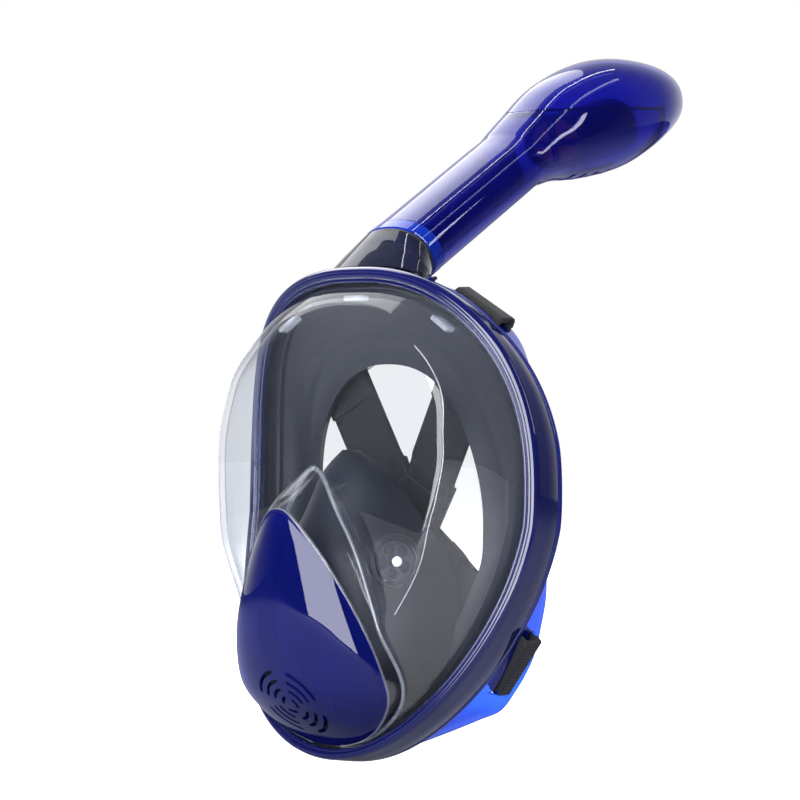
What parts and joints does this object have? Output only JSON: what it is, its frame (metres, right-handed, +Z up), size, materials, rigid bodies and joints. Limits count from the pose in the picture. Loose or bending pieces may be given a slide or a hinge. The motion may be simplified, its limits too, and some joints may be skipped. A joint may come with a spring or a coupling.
{
  "type": "full face snorkel mask",
  "caption": "Full-face snorkel mask: clear domed lens, blue frame, silicone skirt and nose pocket, one-way valves, elastic straps and a detachable dry-top snorkel with a float valve.",
  "frame": {"origin": "middle of the skirt's face opening, where the wearer's face seals", "axes": "+Z up, -Y to the front (the way the wearer looks), +X to the wearer's left"},
  "size_m": [0.193, 0.2983, 0.36],
  "materials": {
    "navy_plastic": "gloss deep navy injection-moulded plastic",
    "blue_plastic": "gloss translucent royal-blue plastic",
    "cover_plastic": "gloss translucent deep-blue plastic",
    "clear_lens": "clear polycarbonate, slightly grey where it overlaps",
    "smoke_plastic": "dark smoke translucent plastic",
    "dark_silicone": "satin dark grey liquid silicone",
    "clear_plastic": "clear moulded plastic",
    "white_silicone": "milky white silicone",
    "black_plastic": "black moulded plastic, fine texture",
    "webbing": "black elastic webbing, ribbed weave",
    "float_plastic": "orange hollow float",
    "pin_steel": "stainless pin"
  },
  "bodies": {
    "mask": {"chin_valve_seat": "black_plastic", "face_skirt": "dark_silicone", "front_frame": "navy_plastic", "lens": "clear_lens", "lens_clip_left": "clear_lens", "lens_clip_right": "clear_lens", "lens_clip_top": "clear_lens", "nose_cover": "cover_plastic", "orinasal_pocket": "dark_silicone", "orinasal_valve_seat_left": "clear_plastic", "orinasal_valve_seat_right": "clear_plastic", "rear_frame": "blue_plastic", "snorkel_socket": "smoke_plastic", "socket_gasket": "dark_silicone", "strap_crossing_patch": "webbing", "strap_lower_left": "webbing", "strap_lower_right": "webbing", "strap_upper_left": "webbing", "strap_upper_right": "webbing"},
    "snorkel": {"snorkel_tube": "blue_plastic", "snorkel_top_cap": "blue_plastic", "tube_collar": "blue_plastic", "channel_divider_left": "smoke_plastic", "channel_divider_right": "smoke_plastic", "float_cage": "smoke_plastic", "float_valve_seat": "white_silicone", "latch_pin": "pin_steel"},
    "release_latch": {"release_latch": "navy_plastic"},
    "float": {"float": "float_plastic", "float_seal": "dark_silicone"},
    "chin_flap": {"chin_valve_flap": "white_silicone"},
    "orinasal_flap_left": {"orinasal_valve_flap_left": "white_silicone"},
    "orinasal_flap_right": {"orinasal_valve_flap_right": "white_silicone"},
    "slider_upper_left": {"strap_slider_upper_left": "black_plastic"},
    "slider_upper_right": {"strap_slider_upper_right": "black_plastic"},
    "slider_lower_left": {"strap_slider_lower_left": "black_plastic"},
    "slider_lower_right": {"strap_slider_lower_right": "black_plastic"}
  },
  "joints": [
    {"name": "snorkel_release", "type": "slide", "parent": "mask", "child": "snorkel", "axis": [0, 0.8387, 0.5446], "range_m": [0, 0.03]},
    {"name": "latch_tilt", "type": "hinge", "parent": "snorkel", "child": "release_latch", "pos_m": [0, 0.00687, 0.12574], "axis": [1, 0, 0], "range_deg": [0, 12], "stiffness_Nm_per_rad": 0.5},
    {"name": "float_rise", "type": "slide", "parent": "snorkel", "child": "float", "axis": [0, 0.9588, 0.284], "range_m": [0, 0.0118]},
    {"name": "chin_flap_open", "type": "slide", "parent": "mask", "child": "chin_flap", "axis": [0, -0.769, -0.6392], "range_m": [0, 0.0015], "stiffness_N_per_m": 40},
    {"name": "orinasal_flap_open_left", "type": "slide", "parent": "mask", "child": "orinasal_flap_left", "axis": [-0.9292, 0.3697, 0], "range_m": [0, 0.0015], "stiffness_N_per_m": 40},
    {"name": "orinasal_flap_open_right", "type": "slide", "parent": "mask", "child": "orinasal_flap_right", "axis": [0.9292, 0.3697, 0], "range_m": [0, 0.0015], "stiffness_N_per_m": 40},
    {"name": "slider_travel_upper_left", "type": "slide", "parent": "mask", "child": "slider_upper_left", "axis": [-0.469, 0.0786, -0.8797], "range_m": [0, 0.022]},
    {"name": "slider_travel_upper_right", "type": "slide", "parent": "mask", "child": "slider_upper_right", "axis": [0.469, 0.0786, -0.8797], "range_m": [0, 0.022]},
    {"name": "slider_travel_lower_left", "type": "slide", "parent": "mask", "child": "slider_lower_left", "axis": [-0.8057, 0.0197, 0.592], "range_m": [0, 0.017]},
    {"name": "slider_travel_lower_right", "type": "slide", "parent": "mask", "child": "slider_lower_right", "axis": [0.8057, 0.0197, 0.592], "range_m": [0, 0.017]}
  ]
}
